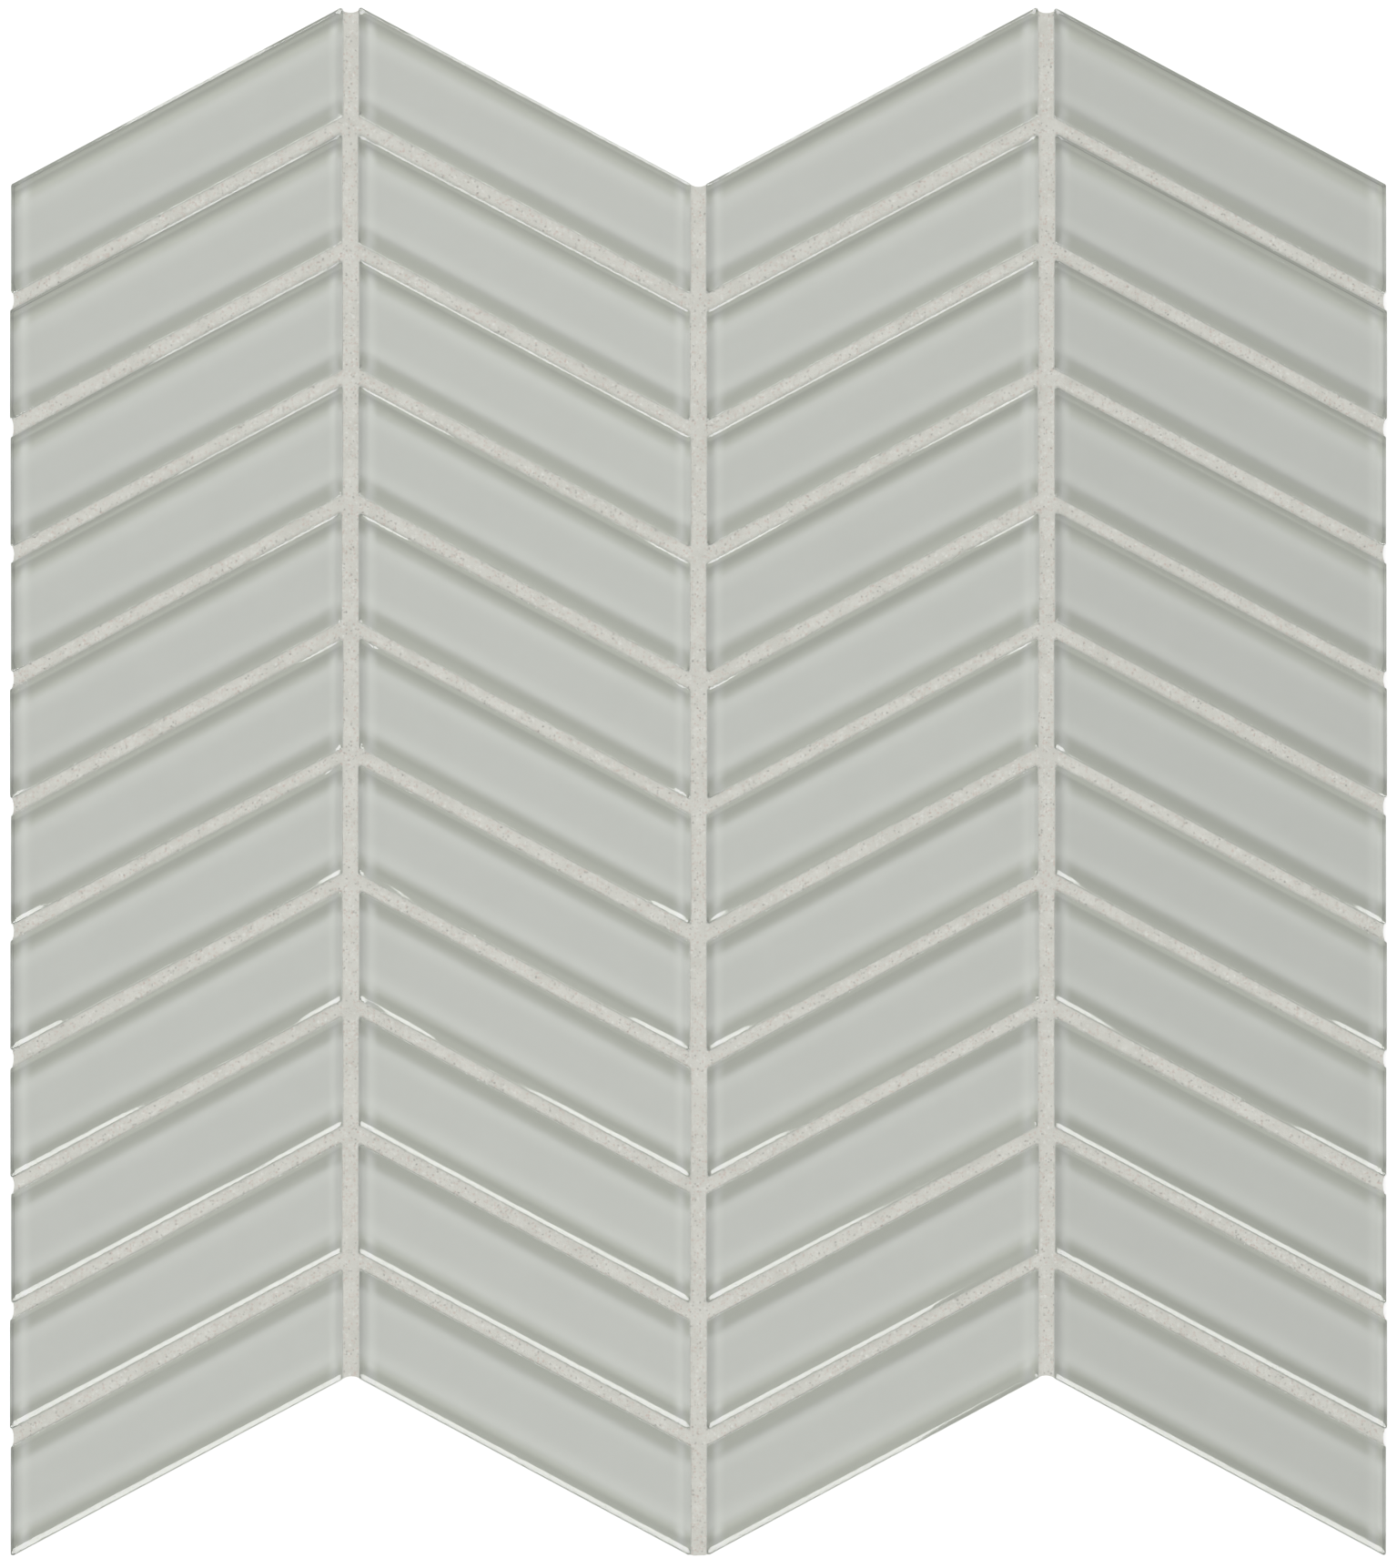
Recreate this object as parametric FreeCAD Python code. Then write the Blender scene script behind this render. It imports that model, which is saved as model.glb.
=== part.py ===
import FreeCAD, Part
import math
import os

# A chevron mosaic sheet: slanted glass chips in columns on a fibre mesh, with sanded grout in every joint.
# Millimetres. X runs across the sheet, Y up it and Z out of the glass face. The mesh lies on Z = 0.

# The pattern
columns = 4
rows = 11
slant_deg = 28.2        # slope of the chips, which rise and fall in turn from column to column

# A glass chip
chip_width = 72.7       # between the two upright ends
chip_band = 21.35       # between the two slanted edges, square to them
chip_thickness = 8.0
edge_ease = 0.6         # width of the slope that eases the upper edge and the two ends of the face
lower_ease = 1.75       # the same along the lower edge, which the press eases more
ease_deg = 10.3         # fall of these slopes

# The joints
end_joint = 3.5         # between columns
row_joint = 3.0         # between rows, square to the slope
grout_recess = 0.45     # depth of the grout's blank below the glass face
grout_dish = 0.4        # depth of the groove that the jointing tool leaves in the blank
jointer_radius = 5.5
grout_set_back = 0.7    # from the border of the sheet to the ends of the joints

# Setting by hand: how far a chip sits off its place
chip_wander = 0.12
chip_twist_deg = 0.06

# The mesh: one layer of strands across another
mesh_pitch = 6.35
strand_width = 0.9
strand_thickness = 0.25
mesh_margin = 3.0       # from the border of the sheet to the cut edge of the mesh

UP = FreeCAD.Vector(0, 0, 1)
slant = math.radians(slant_deg)
chip_rise = chip_width * math.tan(slant)
chip_height = chip_band / math.cos(slant)
column_pitch = chip_width + end_joint
row_pitch = (chip_band + row_joint) / math.cos(slant)
sheet_width = columns * chip_width + (columns - 1) * end_joint
sheet_height = (rows - 1) * row_pitch + chip_height + chip_rise
glass_base = 2 * strand_thickness
grout_height = chip_thickness - grout_recess


def slope_sign(column):
    """+1 for a column whose chips rise towards +X, -1 for one whose chips fall."""
    return 1 if column % 2 == 0 else -1


def column_x(column):
    return (column - (columns - 1) / 2) * column_pitch


def row_y(row):
    """Middle of a row, counted from the top of the sheet; a half number is the joint below the row."""
    return ((rows - 1) / 2 - row) * row_pitch


def polygon_face(points):
    corners = [FreeCAD.Vector(x, y, 0) for x, y in points]
    return Part.Face(Part.makePolygon(corners + corners[:1]))


def ease_wedge(start, end, width):
    """What the press takes off along one edge of the plan, which runs anticlockwise from start to end."""
    run = end - start
    along = run / run.Length
    inward = UP.cross(along)
    spare = chip_thickness / 2
    fall = (width + spare) * math.tan(math.radians(ease_deg))
    base = start - along * spare + UP * chip_thickness
    section = [
        base + inward * width,
        base - inward * spare - UP * fall,
        base - inward * spare + UP * spare,
        base + inward * width + UP * spare,
    ]
    return Part.Face(Part.makePolygon(section + section[:1])).extrude(along * (run.Length + 2 * spare))


def chip_solid(sign):
    """A parallelogram of glass with upright ends, its face edges eased and its back left sharp."""
    half_width, half_rise, half_height = chip_width / 2, sign * chip_rise / 2, chip_height / 2
    plan = [
        (-half_width, -half_rise - half_height),
        (half_width, half_rise - half_height),
        (half_width, half_rise + half_height),
        (-half_width, -half_rise + half_height),
    ]
    corners = [FreeCAD.Vector(x, y, 0) for x, y in plan]
    widths = [lower_ease, edge_ease, edge_ease, edge_ease]
    edges = zip(corners, corners[1:] + corners[:1], widths)
    wedges = [ease_wedge(start, end, width) for start, end, width in edges]
    return polygon_face(plan).extrude(UP * chip_thickness).cut(wedges)


def chip_place(row, column):
    """Where a chip sits: its place in the pattern plus an error, spread out by the golden angle."""
    phase = (column * rows + row) * math.pi * (3 - math.sqrt(5))
    spot = FreeCAD.Vector(
        column_x(column) + chip_wander * math.cos(phase),
        row_y(row) + chip_wander * math.sin(phase),
        glass_base,
    )
    return FreeCAD.Placement(spot, FreeCAD.Rotation(UP, chip_twist_deg * math.sin(2 * phase)))


def sheet_face(inset):
    """The plan of the pattern, from chip corner to chip corner, moved in from the border of the sheet."""
    top, bottom = [], []
    for column in range(columns):
        for side in (-1, 1):
            lean = side * slope_sign(column) * chip_rise / 2
            x = column_x(column) + side * chip_width / 2
            x = max(-sheet_width / 2 + inset, min(sheet_width / 2 - inset, x))
            top.append((x, row_y(0) + chip_height / 2 + lean - inset))
            bottom.append((x, row_y(rows - 1) - chip_height / 2 + lean + inset))
    return polygon_face(bottom + top[::-1])


def joint_groove(start, end):
    """The round bar that the jointing tool sweeps along a joint, from one (x, y) point to another."""
    axis_z = grout_height - grout_dish + jointer_radius
    base = FreeCAD.Vector(start[0], start[1], axis_z)
    run = FreeCAD.Vector(end[0] - start[0], end[1] - start[1], 0)
    return Part.makeCylinder(jointer_radius, run.Length, base, run)


def grout_grooves():
    """A groove up each joint between columns, and one along each joint between rows."""
    grooves = []
    half_rise = math.tan(slant) * column_pitch / 2
    for column in range(columns):
        left, right = column_x(column) - column_pitch / 2, column_x(column) + column_pitch / 2
        if column > 0:
            grooves.append(joint_groove((left, -sheet_height / 2), (left, sheet_height / 2)))
        lean = slope_sign(column) * half_rise
        for row in range(rows - 1):
            middle = row_y(row + 0.5)
            grooves.append(joint_groove((left, middle - lean), (right, middle + lean)))
    return grooves


def grout_solid(chips):
    """One casting: everything between the chips, hollowed along each joint and standing on the mesh."""
    pockets = []
    for chip in chips:
        back = min(chip.Faces, key=lambda face: face.CenterOfMass.z).copy()
        back.translate(UP * -glass_base)
        pockets.append(back)
    plan = sheet_face(grout_set_back).cut(pockets)
    blank = Part.makeCompound([face.extrude(UP * grout_height) for face in plan.Faces])
    grout = blank.cut(grout_grooves())
    grout.translate(UP * glass_base)
    return grout


def strand_layer(length_axis, base_z):
    """Parallel strands half a pitch off the middle of the sheet, cut to the pattern's outline."""
    reach = max(sheet_width, sheet_height) / 2
    count = math.ceil(reach / mesh_pitch)
    strands = []
    for index in range(-count, count):
        middle = (index + 0.5) * mesh_pitch
        low, high = middle - strand_width / 2, middle + strand_width / 2
        if length_axis == "y":
            strands.append(polygon_face([(low, -reach), (high, -reach), (high, reach), (low, reach)]))
        else:
            strands.append(polygon_face([(-reach, low), (reach, low), (reach, high), (-reach, high)]))
    cut = sheet_face(mesh_margin).common(strands)
    layer = Part.makeCompound([face.extrude(UP * strand_thickness) for face in cut.Faces])
    layer.translate(UP * base_z)
    return layer


chip_masters = {sign: chip_solid(sign) for sign in (1, -1)}
pieces = {}
for column in range(columns):
    for row in range(rows):
        chip = chip_masters[slope_sign(column)].copy()
        chip.Placement = chip_place(row, column)
        pieces[f"chip_c{column + 1}_r{row + 1:02d}"] = chip
pieces["grout"] = grout_solid(list(pieces.values()))
pieces["mesh_warp"] = strand_layer("y", 0)
pieces["mesh_weft"] = strand_layer("x", strand_thickness)

os.makedirs("parts", exist_ok=True)
for name, shape in pieces.items():
    shape.exportStep(f"parts/{name}.step")
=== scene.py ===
import logging
import math
from dataclasses import dataclass, field
from enum import Enum, IntEnum

import bpy
import numpy as np
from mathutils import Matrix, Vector


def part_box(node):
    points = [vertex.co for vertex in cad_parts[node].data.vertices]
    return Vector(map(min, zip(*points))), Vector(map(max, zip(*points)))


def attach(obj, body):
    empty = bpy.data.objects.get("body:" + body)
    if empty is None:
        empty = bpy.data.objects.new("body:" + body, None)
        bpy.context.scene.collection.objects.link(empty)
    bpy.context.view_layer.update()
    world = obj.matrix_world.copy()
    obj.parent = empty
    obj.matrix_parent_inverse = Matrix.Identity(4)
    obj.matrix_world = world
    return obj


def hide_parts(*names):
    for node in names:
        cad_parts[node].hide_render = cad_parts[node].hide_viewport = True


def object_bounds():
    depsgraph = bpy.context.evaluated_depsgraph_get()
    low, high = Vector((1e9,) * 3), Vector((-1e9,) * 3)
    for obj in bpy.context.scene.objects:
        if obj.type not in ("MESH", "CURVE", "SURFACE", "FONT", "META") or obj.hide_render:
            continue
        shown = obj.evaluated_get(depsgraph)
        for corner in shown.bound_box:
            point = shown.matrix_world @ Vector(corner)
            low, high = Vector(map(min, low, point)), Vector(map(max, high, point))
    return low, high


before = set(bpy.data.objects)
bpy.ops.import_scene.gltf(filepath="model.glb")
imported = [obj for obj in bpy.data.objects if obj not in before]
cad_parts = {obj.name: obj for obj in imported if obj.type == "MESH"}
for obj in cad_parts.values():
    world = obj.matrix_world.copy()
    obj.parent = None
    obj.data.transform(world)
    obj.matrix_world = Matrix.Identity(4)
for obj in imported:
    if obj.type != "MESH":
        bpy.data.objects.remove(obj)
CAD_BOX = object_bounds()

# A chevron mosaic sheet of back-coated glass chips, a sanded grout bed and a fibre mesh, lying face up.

MM = 0.001
COLUMNS = 4
ROWS = 11
# The tone of the enamel in each column, darkest in the right one, and how much the ease deepens at a chip's
# corners in each row
COLUMN_TONES = (1.0, 1.0, 0.99, 0.947)
CORNER_FALLS = 7 * (0.5,) + (0.42, 0.3, 0.15, 0.0)
# Points of a CAD node that are closer than this lie at one place
SAME_PLACE = 0.01 * MM
PHOTO_WIDTH_PX = 1535
PHOTO_HEIGHT_PX = 1723
# What the meshes keep on their points for the finishes
COAT_TONE = "coat_tone"
FROM_SIDES = "from_sides"
STRAND_WINDING = "strand_winding"

log = logging.getLogger("chevron_sheet")

Colour = tuple[float, float, float]
Range = tuple[float, float]
Hump = tuple[float, float, float]
Socket = bpy.types.NodeSocket

WHITE: Colour = (1.0, 1.0, 1.0)


class Slot(Enum):
    """The record's material slots."""

    GLASS = "glass"
    GROUT = "grout"
    MESH = "mesh"


class ChipZone(IntEnum):
    """The finishes on the coat of one chip, as the order of its material slots."""

    WALL = 0
    BACK = 1


class Run(Enum):
    """Which way the strands of a mesh layer run."""

    UP_THE_SHEET = "mesh_warp"
    ACROSS_THE_SHEET = "mesh_weft"


class Seed(IntEnum):
    """Seeds of the random draws; each chip adds its number to its two."""

    SWELL = 5
    LUMP = 6
    GRIT = 7
    WARP_SWAY = 40
    WEFT_SWAY = 41
    CHIP_EASE = 1000
    CHIP_TONE = 2000


class NodeSheet:
    """A node tree, and short calls that add and join its nodes."""

    def __init__(self, tree: bpy.types.NodeTree) -> None:
        """Keep the tree, emptied."""
        self.tree = tree
        self.tree.nodes.clear()

    def node(self, kind: str, **values: object) -> bpy.types.Node:
        """Add a node and set its properties, its unlinked inputs or its links.

        Args:
            kind: Blender's name of the node type.
            **values: Properties by name, or inputs by name with spaces as underscores. An input given a
                socket is linked to it.

        Returns:
            The new node.
        """
        made = self.tree.nodes.new(kind)
        for name, value in values.items():
            if hasattr(made, name):
                setattr(made, name, value)
            else:
                self.feed(made, name.replace("_", " "), value)
        return made

    def feed(self, node: bpy.types.Node, name: str | int, value: object) -> None:
        """Link a socket to an input, or set the input's own value.

        Args:
            node: The node that has the input.
            name: The input's name or number.
            value: A socket or a plain value.
        """
        if isinstance(value, Socket):
            self.tree.links.new(value, node.inputs[name])
        else:
            node.inputs[name].default_value = value

    def math(self, operation: str, *values: object) -> Socket:
        """Work out a number from others.

        Args:
            operation: Blender's name of the operation.
            *values: Sockets or plain numbers, in the order of the inputs.

        Returns:
            The result's socket.
        """
        made = self.node("ShaderNodeMath", operation=operation)
        for number, value in enumerate(values):
            self.feed(made, number, value)
        return made.outputs[0]

    def span(
        self,
        value: Socket,
        low: float,
        high: float,
        to_low: float = 0.0,
        to_high: float = 1.0,
        smooth: bool = False,
    ) -> Socket:
        """Stretch a range of numbers onto another, held at its ends.

        Args:
            value: The number to stretch.
            low: Start of its range.
            high: End of its range.
            to_low: What the start becomes.
            to_high: What the end becomes.
            smooth: Whether the slope eases to nothing at both ends.

        Returns:
            The result's socket.
        """
        made = self.node("ShaderNodeMapRange", Value=value, From_Min=low, From_Max=high)
        self.feed(made, "To Min", to_low)
        self.feed(made, "To Max", to_high)
        made.interpolation_type = "SMOOTHSTEP" if smooth else "LINEAR"
        return made.outputs["Result"]

    def between(self, share: Socket, ends: Range) -> Socket:
        """The number at a share from 0 to 1 of the way between two ends."""
        return self.span(share, 0.0, 1.0, *ends)

    def fade(self, value: Socket, over: Range, start: float = 1.0) -> Socket:
        """A smooth fall from a start to 0 while the value runs over a range."""
        return self.span(value, *over, start, 0.0, smooth=True)

    def hump(self, value: Socket, start: float, peak: float, end: float) -> Socket:
        """A smooth rise from 0 at the start to 1 at the peak and back to 0 at the end."""
        rise = self.span(value, start, peak, smooth=True)
        return self.math("MULTIPLY", rise, self.fade(value, (peak, end)))

    def mix(self, share: object, first: object, second: object, blend: str = "MIX") -> Socket:
        """Mix two colours.

        Args:
            share: How much of the second, a socket or a number.
            first: A socket or a linear colour.
            second: A socket or a linear colour.
            blend: Blender's name of the blend.

        Returns:
            The mixed colour's socket.
        """
        made = self.node("ShaderNodeMix", data_type="RGBA", blend_type=blend)
        self.feed(made, 0, share)
        self.feed(made, 6, first if isinstance(first, Socket) else (*first, 1.0))
        self.feed(made, 7, second if isinstance(second, Socket) else (*second, 1.0))
        return made.outputs[2]


class FinishSheet(NodeSheet):
    """The node tree of one material, with the object's own coordinates at hand."""

    def __init__(self, name: str) -> None:
        """Make the material, its output and its coordinates.

        Args:
            name: The material's name.
        """
        self.material = bpy.data.materials.new(name)
        self.material.use_nodes = True
        super().__init__(self.material.node_tree)
        self.output = self.node("ShaderNodeOutputMaterial")
        self.place = self.node("ShaderNodeTexCoord").outputs["Object"]

    def group(self, tree: bpy.types.NodeTree, **values: object) -> bpy.types.Node:
        """Place a shared effect.

        Args:
            tree: The effect's node group.
            **values: Its inputs by name.

        Returns:
            The group node.
        """
        made = self.node("ShaderNodeGroup", node_tree=tree)
        for name, value in values.items():
            self.feed(made, name, value)
        return made

    def bump(self, height: Socket, depth: float, **more: object) -> Socket:
        """Turn a height from 0 to 1 into a normal.

        Args:
            height: The height's socket.
            depth: What 1 stands for, in metres.
            **more: Other inputs of the bump node, by name.

        Returns:
            The normal's socket.
        """
        return self.node("ShaderNodeBump", Height=height, Distance=depth, **more).outputs["Normal"]

    def surface(self, shader: bpy.types.Node) -> bpy.types.Material:
        """Use a node's first output as the surface, and give back the material."""
        self.feed(self.output, "Surface", shader.outputs[0])
        return self.material


@dataclass
class SharedEffects:
    """The node groups that more than one finish uses, each built once."""

    cloud_detail: float = 3.0
    cloud_roughness: float = 0.55
    cloud_range: Range = (0.3, 0.7)
    grain_wobble: float = 0.9
    wobble_finer: float = 2.0
    grain_rim: Range = (0.15, 0.6)
    faintest: float = 0.35
    clouds: bpy.types.NodeTree = field(init=False)
    grains: bpy.types.NodeTree = field(init=False)

    def __post_init__(self) -> None:
        """Build each group."""
        self.clouds = self.build_clouds()
        self.grains = self.build_grains()

    @staticmethod
    def start(
        name: str, inputs: dict[str, str], outputs: dict[str, str]
    ) -> tuple[NodeSheet, dict[str, Socket], bpy.types.Node]:
        """Make an empty group with its sockets.

        Args:
            name: The group's name.
            inputs: Socket types by input name.
            outputs: Socket types by output name.

        Returns:
            The group's sheet, its input sockets by name and its output node.
        """
        tree = bpy.data.node_groups.new(name, "ShaderNodeTree")
        for direction, sockets in (("INPUT", inputs), ("OUTPUT", outputs)):
            for label, kind in sockets.items():
                tree.interface.new_socket(label, in_out=direction, socket_type=f"NodeSocket{kind}")
        sheet = NodeSheet(tree)
        entry = sheet.node("NodeGroupInput")
        return sheet, {label: entry.outputs[label] for label in inputs}, sheet.node("NodeGroupOutput")

    def build_clouds(self) -> bpy.types.NodeTree:
        """Soft clouds: noise stretched to the full range, and a colour between two tones.

        Returns:
            The group.
        """
        sheet, given, out = self.start(
            "soft_clouds",
            {"Vector": "Vector", "Scale": "Float", "Dark": "Color", "Light": "Color"},
            {"Color": "Color", "Value": "Float"},
        )
        noise = sheet.node(
            "ShaderNodeTexNoise",
            Vector=given["Vector"],
            Scale=given["Scale"],
            Detail=self.cloud_detail,
            Roughness=self.cloud_roughness,
        )
        value = sheet.span(noise.outputs["Fac"], *self.cloud_range)
        sheet.feed(out, "Color", sheet.mix(value, given["Dark"], given["Light"]))
        sheet.feed(out, "Value", value)
        return sheet.tree

    def build_grains(self) -> bpy.types.NodeTree:
        """Scattered grains: uneven cells, a given share of them chosen, some faint, each fading at its rim.

        Returns:
            The group.
        """
        sheet, given, out = self.start(
            "scattered_grains",
            {"Vector": "Vector", "Scale": "Float", "Share": "Float"},
            {"Mask": "Float", "Height": "Float"},
        )
        spot, scale = given["Vector"], given["Scale"]
        finer = sheet.math("MULTIPLY", scale, self.wobble_finer)
        wobble = sheet.node("ShaderNodeTexNoise", Vector=spot, Scale=finer, Detail=0.0)
        uneven = sheet.node("ShaderNodeVectorMath", operation="MULTIPLY_ADD")
        sheet.feed(uneven, 0, wobble.outputs["Color"])
        sheet.feed(uneven, 1, sheet.math("DIVIDE", self.grain_wobble, scale))
        sheet.feed(uneven, 2, spot)
        cells = sheet.node("ShaderNodeTexVoronoi", Vector=uneven.outputs[0], Scale=scale, Randomness=1.0)
        parts = sheet.node("ShaderNodeSeparateColor", Color=cells.outputs["Color"]).outputs
        chosen = sheet.math("LESS_THAN", parts["Red"], given["Share"])
        faint = sheet.between(parts["Green"], (self.faintest, 1.0))
        dome = sheet.span(cells.outputs["Distance"], *self.grain_rim, 1.0, 0.0)
        sheet.feed(out, "Mask", sheet.math("MULTIPLY", sheet.math("MULTIPLY", chosen, faint), dome))
        sheet.feed(out, "Height", dome)
        return sheet.tree

    def cloudy(self, sheet: FinishSheet, scale: float, dark: Colour, light: Colour) -> bpy.types.Node:
        """Place the clouds in a finish.

        Args:
            sheet: The finish's sheet.
            scale: How fine the clouds are.
            dark: Their darker tone.
            light: Their lighter tone.

        Returns:
            The group node.
        """
        tones = {"Dark": (*dark, 1.0), "Light": (*light, 1.0)}
        return sheet.group(self.clouds, Vector=sheet.place, Scale=scale, **tones)


@dataclass(frozen=True)
class ClearGlass:
    """Polished face glass with a faint green tint, a slow roll in its surface and a slight bloom."""

    tint: Colour = (0.975, 0.988, 0.968)
    ior: float = 1.45
    bloom_scale: float = 60.0
    roughness: Range = (0.015, 0.045)
    roll_scale: float = 35.0
    roll_depth: float = 0.01 * MM

    def material(self, effects: SharedEffects) -> bpy.types.Material:
        """Build the face's material.

        Args:
            effects: The shared node groups.

        Returns:
            A transmissive material with plain metallic and transmission values.
        """
        sheet = FinishSheet("clear_glass")
        bloom = sheet.group(effects.clouds, Vector=sheet.place, Scale=self.bloom_scale)
        roll = sheet.node("ShaderNodeTexNoise", Vector=sheet.place, Scale=self.roll_scale, Detail=1.0)
        glass = sheet.node(
            "ShaderNodeBsdfPrincipled",
            Base_Color=(*self.tint, 1.0),
            Roughness=sheet.between(bloom.outputs["Value"], self.roughness),
            IOR=self.ior,
            Transmission_Weight=1.0,
            Normal=sheet.bump(roll.outputs["Fac"], self.roll_depth),
        )
        return sheet.surface(glass)


@dataclass(frozen=True)
class BackCoat:
    """The enamel on the back of a chip: a little cloudy, with painted light and shade near its border.

    Painted light lies along the ends, in the corners, near the edges and in a faint line along each long side
    just inside its shaded band, and a painted yellow-green tint lies in the shaded bands; the tone also
    changes from chip to chip. The painted lights are shares of the tone. The ranges and humps are where they
    act, in millimetres from the sides.
    """

    dark: Colour = (0.522, 0.531, 0.502)
    light: Colour = (0.540, 0.549, 0.520)
    cloud_scale: float = 70.0
    roughness: Range = (0.45, 0.6)
    gloss: float = 0.2
    # Painted light near the ends, in lines along the long sides, in the corners and near the edges, as shares
    # of the tone
    end_painted_light: float = 0.09
    left_end: Hump = (0.7, 2.2, 4.4)
    right_end: Hump = (0.6, 2.0, 4.2)
    line_painted_light: float = 0.085
    lower_line: Hump = (3.6, 4.9, 8.5)
    upper_line: Hump = (3.3, 4.6, 8.0)
    corner_painted_light: float = 0.20
    corner: Hump = (0.6, 2.6, 4.8)
    lower_edge_painted_light: float = 0.18
    lower_edge: Range = (0.8, 2.4)
    upper_edge_painted_light: float = 0.26
    upper_edge: Range = (0.6, 1.3)
    left_edge_painted_light: float = 0.10
    right_edge_painted_light: float = 0.22
    end_edge: Range = (0.4, 1.8)
    # A painted yellow-green tint in the shaded bands along the long sides
    shade_tint: Colour = (0.99, 1.0, 0.94)
    shaded_side: Range = (2.6, 4.6)

    def material(self, effects: SharedEffects) -> bpy.types.Material:
        """Build the coat's material.

        Args:
            effects: The shared node groups.

        Returns:
            An opaque matt material.
        """
        sheet = FinishSheet("back_enamel")
        clouds = effects.cloudy(sheet, self.cloud_scale, self.dark, self.light)
        tone = sheet.node("ShaderNodeAttribute", attribute_name=COAT_TONE)
        own = sheet.mix(1.0, clouds.outputs["Color"], tone.outputs["Color"], "MULTIPLY")
        # The enamel's own tone times its painted light and shade near the border
        coat = sheet.node(
            "ShaderNodeBsdfPrincipled",
            Base_Color=sheet.mix(1.0, own, self.painted_light(sheet), "MULTIPLY"),
            Roughness=sheet.between(clouds.outputs["Value"], self.roughness),
            Specular_IOR_Level=self.gloss,
        )
        return sheet.surface(coat)

    def painted_light(self, sheet: FinishSheet) -> Socket:
        """The painted light and shade near the border, from the distances to the four sides.

        Args:
            sheet: The coat's sheet.

        Returns:
            A colour factor: white in the middle of the chip, with painted light near its sides and a painted
                shade tint in the bands along the long sides.
        """
        sides = sheet.node("ShaderNodeAttribute", attribute_name=FROM_SIDES)
        split = sheet.node("ShaderNodeSeparateColor", Color=sides.outputs["Color"]).outputs
        low, right, high, left = split["Red"], split["Green"], split["Blue"], sides.outputs["Alpha"]
        near = sheet.math("MINIMUM", low, high)
        end = sheet.math("MAXIMUM", sheet.hump(left, *self.left_end), sheet.hump(right, *self.right_end))
        line = sheet.math("MAXIMUM", sheet.hump(low, *self.lower_line), sheet.hump(high, *self.upper_line))
        corner = sheet.math("MULTIPLY", end, sheet.hump(near, *self.corner))
        painted_light = 1.0
        # Painted light at the ends, in lines just inside the shaded bands, and in the corners
        for place, most in ((end, self.end_painted_light), (line, self.line_painted_light), (corner, self.corner_painted_light)):
            painted_light = sheet.math("MULTIPLY_ADD", place, most, painted_light)
        # Painted light near each edge, stronger at the right ends than the left
        for side, over, most in (
            (low, self.lower_edge, self.lower_edge_painted_light),
            (high, self.upper_edge, self.upper_edge_painted_light),
            (left, self.end_edge, self.left_edge_painted_light),
            (right, self.end_edge, self.right_edge_painted_light),
        ):
            painted_light = sheet.math("ADD", painted_light, sheet.fade(side, over, most))
        # Painted shade tint in the bands along the long sides, away from the ends
        off_ends = sheet.math("SUBTRACT", 1.0, end)
        tinted = sheet.math("MULTIPLY", sheet.fade(near, self.shaded_side), off_ends)
        return sheet.mix(1.0, sheet.mix(tinted, WHITE, self.shade_tint), painted_light, "MULTIPLY")


@dataclass(frozen=True)
class GroundWall:
    """The cut walls of a chip: ground glass, pale green, with the pits that the wheel leaves."""

    dark: Colour = (0.68, 0.71, 0.67)
    light: Colour = (0.75, 0.775, 0.74)
    cloud_scale: float = 260.0
    roughness: Range = (0.32, 0.6)
    pit_scale: float = 1500.0
    pit_share: float = 0.5
    pit_depth: float = 0.06 * MM
    pit_strength: float = 0.6

    def material(self, effects: SharedEffects) -> bpy.types.Material:
        """Build the walls' material.

        Args:
            effects: The shared node groups.

        Returns:
            An opaque material with a dull gloss.
        """
        sheet = FinishSheet("ground_wall")
        clouds = effects.cloudy(sheet, self.cloud_scale, self.dark, self.light)
        pits = sheet.group(effects.grains, Vector=sheet.place, Scale=self.pit_scale, Share=self.pit_share)
        level = sheet.math("SUBTRACT", 1.0, pits.outputs["Mask"])
        wall = sheet.node(
            "ShaderNodeBsdfPrincipled",
            Base_Color=clouds.outputs["Color"],
            Roughness=sheet.between(pits.outputs["Mask"], self.roughness),
            Normal=sheet.bump(level, self.pit_depth, Strength=self.pit_strength),
        )
        return sheet.surface(wall)


@dataclass(frozen=True)
class Sand:
    """One sort of sand: its colour, the share of cells that it fills and how fine the cells are."""

    tint: Colour
    share: float
    scale: float


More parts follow.
